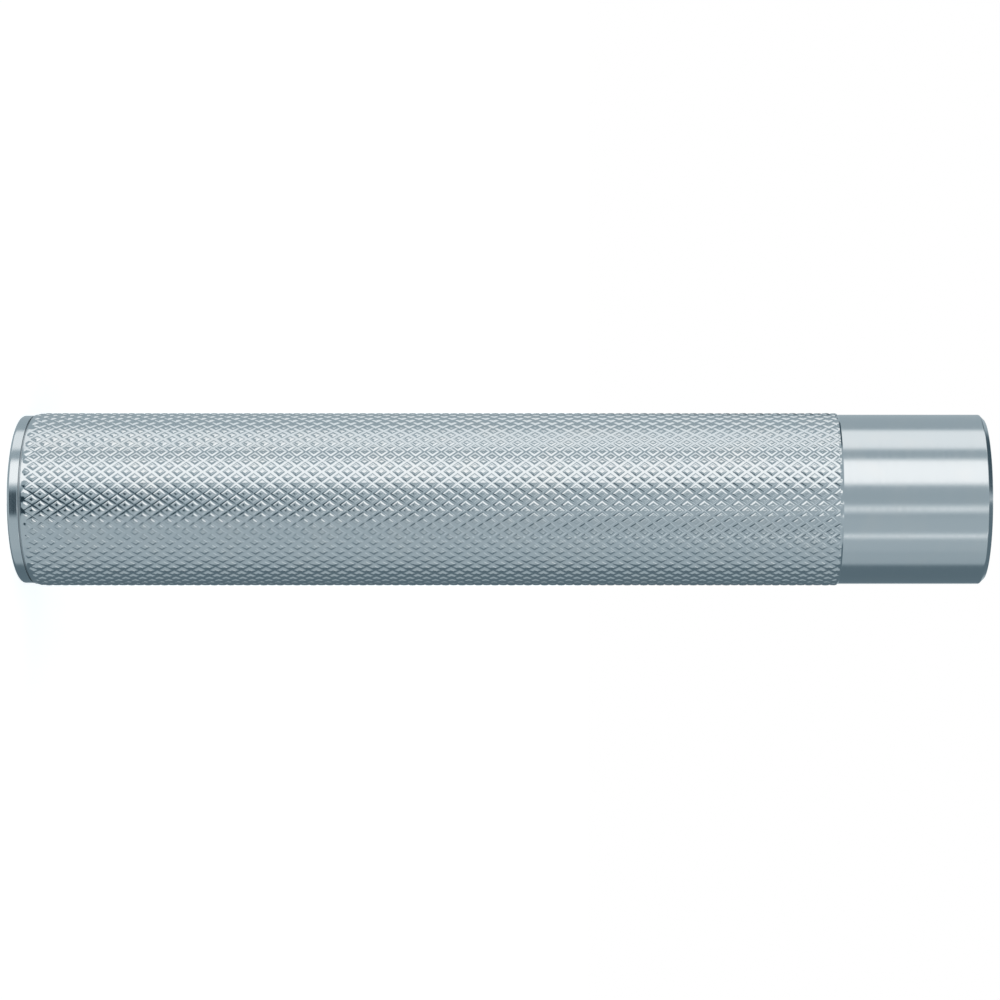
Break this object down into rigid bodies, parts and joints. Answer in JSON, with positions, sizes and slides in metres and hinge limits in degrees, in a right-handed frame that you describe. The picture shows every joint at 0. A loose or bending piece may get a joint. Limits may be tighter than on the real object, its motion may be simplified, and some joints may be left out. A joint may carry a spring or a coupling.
{
  "type": "internally threaded anchor sleeve",
  "caption": "Steel sleeve for a resin anchor: diamond knurl outside, plain collar at the mouth, closed foot and a blind threaded hole for a bolt.",
  "frame": {"origin": "centre of the closed end's face, on which the sleeve stands", "axes": "+Z along the sleeve's axis, from the closed end to the mouth"},
  "size_m": [0.0154, 0.0154, 0.085],
  "materials": {
    "zinc_plated_steel": "bright blue-grey zinc plating over turned and knurled steel"
  },
  "bodies": {
    "root": {"sleeve": "zinc_plated_steel"}
  },
  "joints": []
}
